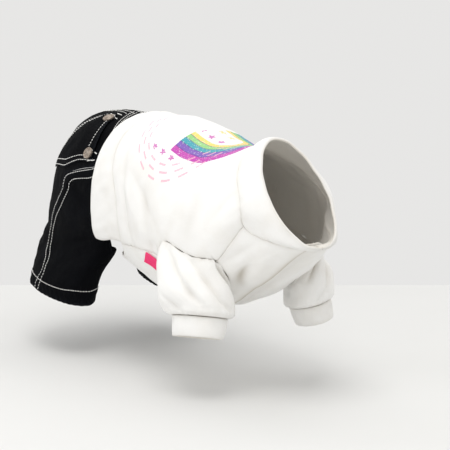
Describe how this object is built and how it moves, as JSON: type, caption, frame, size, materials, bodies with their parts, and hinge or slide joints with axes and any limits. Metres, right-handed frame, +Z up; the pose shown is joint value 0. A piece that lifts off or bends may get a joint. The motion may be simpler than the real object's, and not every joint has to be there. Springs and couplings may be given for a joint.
{
  "type": "dog jumpsuit",
  "caption": "Small dog's jumpsuit in its worn form: white fleece top with collar, puffed sleeves and ribbed cuffs, sewn to black denim trousers with patch pockets and metal buttons.",
  "frame": {"origin": "inside of the shirt's back on the centre line, where the garment rests on the wearer's back", "axes": "+X towards the neck, +Y to the wearer's left, +Z up"},
  "size_m": [0.414, 0.1862, 0.1952],
  "materials": {
    "white fleece": "matt knitted fleece with a soft pile",
    "black denim": "matt twill, slightly worn on the ridges",
    "pink tape": "satin woven tape",
    "button metal": "aged, satin"
  },
  "bodies": {
    "root": {"shirt_back_panel": "white fleece", "belly_panel_right": "white fleece", "belly_panel_left": "white fleece", "hem_band": "white fleece", "collar_band": "white fleece", "sleeve_right": "white fleece", "sleeve_left": "white fleece", "cuff_right": "white fleece", "cuff_left": "white fleece", "side_label": "pink tape", "jeans_seat_right": "black denim", "jeans_seat_left": "black denim", "jeans_leg_right": "black denim", "jeans_leg_left": "black denim", "pocket_right": "black denim", "pocket_left": "black denim", "button_upper_right": "button metal", "button_upper_left": "button metal", "button_lower_right": "button metal", "button_lower_left": "button metal"}
  },
  "joints": []
}
